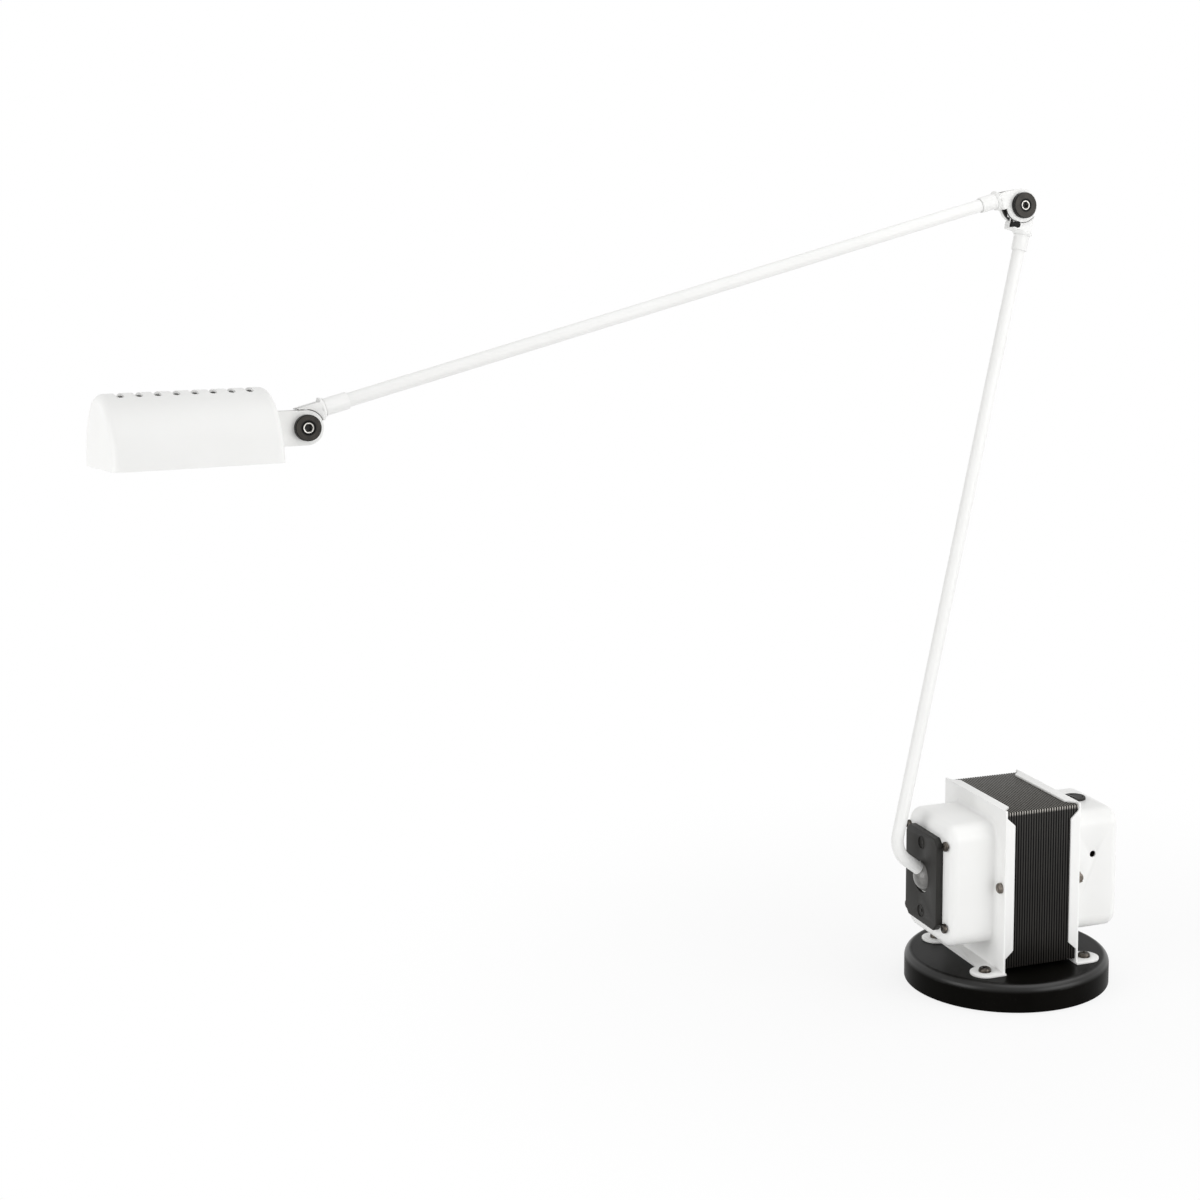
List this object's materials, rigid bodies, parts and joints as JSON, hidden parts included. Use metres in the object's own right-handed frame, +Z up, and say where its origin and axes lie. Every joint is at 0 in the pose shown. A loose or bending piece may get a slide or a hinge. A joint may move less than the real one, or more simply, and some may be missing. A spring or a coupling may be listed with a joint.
{
  "type": "two-arm desk lamp",
  "caption": "Desk lamp with a heavy transformer on a round foot as ballast, a ball joint, slim jointed arms and a half-round shade.",
  "frame": {"origin": "centre of the underside of the round foot", "axes": "+Z up, +X from the ball joint towards the rear bell with the mains inlet, along the transformer's stack; +Y completes the frame"},
  "size_m": [0.548, 0.115, 0.4423],
  "materials": {
    "black_rubber": "matte",
    "black_paint": "satin",
    "dark_steel": "satin",
    "core_lacquer": "satin",
    "bobbin_plastic": "matte",
    "copper_wire": "satin",
    "white_paint": "satin",
    "zinc_steel": "satin",
    "black_plastic": "matte",
    "white_plastic": "satin",
    "clear_plastic": "gloss",
    "bright_aluminium": "satin",
    "ceramic": "matte",
    "clear_glass": "gloss"
  },
  "bodies": {
    "base": {"base_pad": "black_rubber", "base_disc": "black_paint", "foot_screws": "dark_steel", "core_laminations": "core_lacquer", "coil_bobbin": "bobbin_plastic", "coil_winding": "copper_wire", "front_bell": "white_paint", "rear_bell": "white_paint", "through_bolts": "zinc_steel", "through_nuts": "zinc_steel", "socket_plate": "black_plastic", "plate_screws": "dark_steel", "pressure_cup": "white_plastic", "snap_ring": "dark_steel", "switch_bezel": "black_plastic", "cord_inlet": "black_plastic"},
    "socket_liner": {"liner_ring": "white_plastic"},
    "joint_ball": {"ball": "clear_plastic"},
    "lower_arm": {"lower_tube": "white_paint", "lower_tongue": "white_paint", "elbow_bushings": "black_plastic", "elbow_stop_pin": "black_rubber"},
    "upper_arm": {"upper_tube": "white_paint", "elbow_fork": "white_paint", "elbow_discs": "black_plastic", "elbow_screw": "zinc_steel", "elbow_nut": "zinc_steel", "head_tongue": "white_paint", "head_bushings": "black_plastic"},
    "head": {"head_bracket": "white_paint", "bracket_screws": "zinc_steel", "head_discs": "black_plastic", "head_screw": "zinc_steel", "head_nut": "zinc_steel", "shade": "white_paint", "reflector": "bright_aluminium", "lamp_holder": "ceramic", "lamp_glass": "clear_glass", "lamp_pins": "zinc_steel"},
    "rocker": {"switch_rocker": "black_plastic"}
  },
  "joints": [
    {"name": "ring_turn", "type": "hinge", "parent": "base", "child": "socket_liner", "pos_m": [-0.0495, 0, 0.0647], "axis": [1, 0, 0], "range_deg": [-40, 40]},
    {"name": "ball_tilt", "type": "hinge", "parent": "socket_liner", "child": "joint_ball", "pos_m": [-0.0495, 0, 0.0647], "axis": [0, 0.9999, 0.0143], "range_deg": [-35, 3]},
    {"name": "arm_spin", "type": "hinge", "parent": "joint_ball", "child": "lower_arm", "pos_m": [-0.0495, 0, 0.0647], "axis": [-0.8, -0.0086, 0.6], "range_deg": [-60, 60]},
    {"name": "elbow", "type": "hinge", "parent": "lower_arm", "child": "upper_arm", "pos_m": [0.01731, 0.0337, 0.43261], "axis": [-0.0695, 0.9945, -0.0785], "range_deg": [-35, 50]},
    {"name": "head_tilt", "type": "hinge", "parent": "upper_arm", "child": "head", "pos_m": [-0.39052, -0.00287, 0.33055], "axis": [-0.0695, 0.9945, -0.0785], "range_deg": [-90, 3]},
    {"name": "switch_rock", "type": "hinge", "parent": "base", "child": "rocker", "pos_m": [0.042, 0, 0.0985], "axis": [0, 1, 0], "range_deg": [-14, 0]}
  ]
}
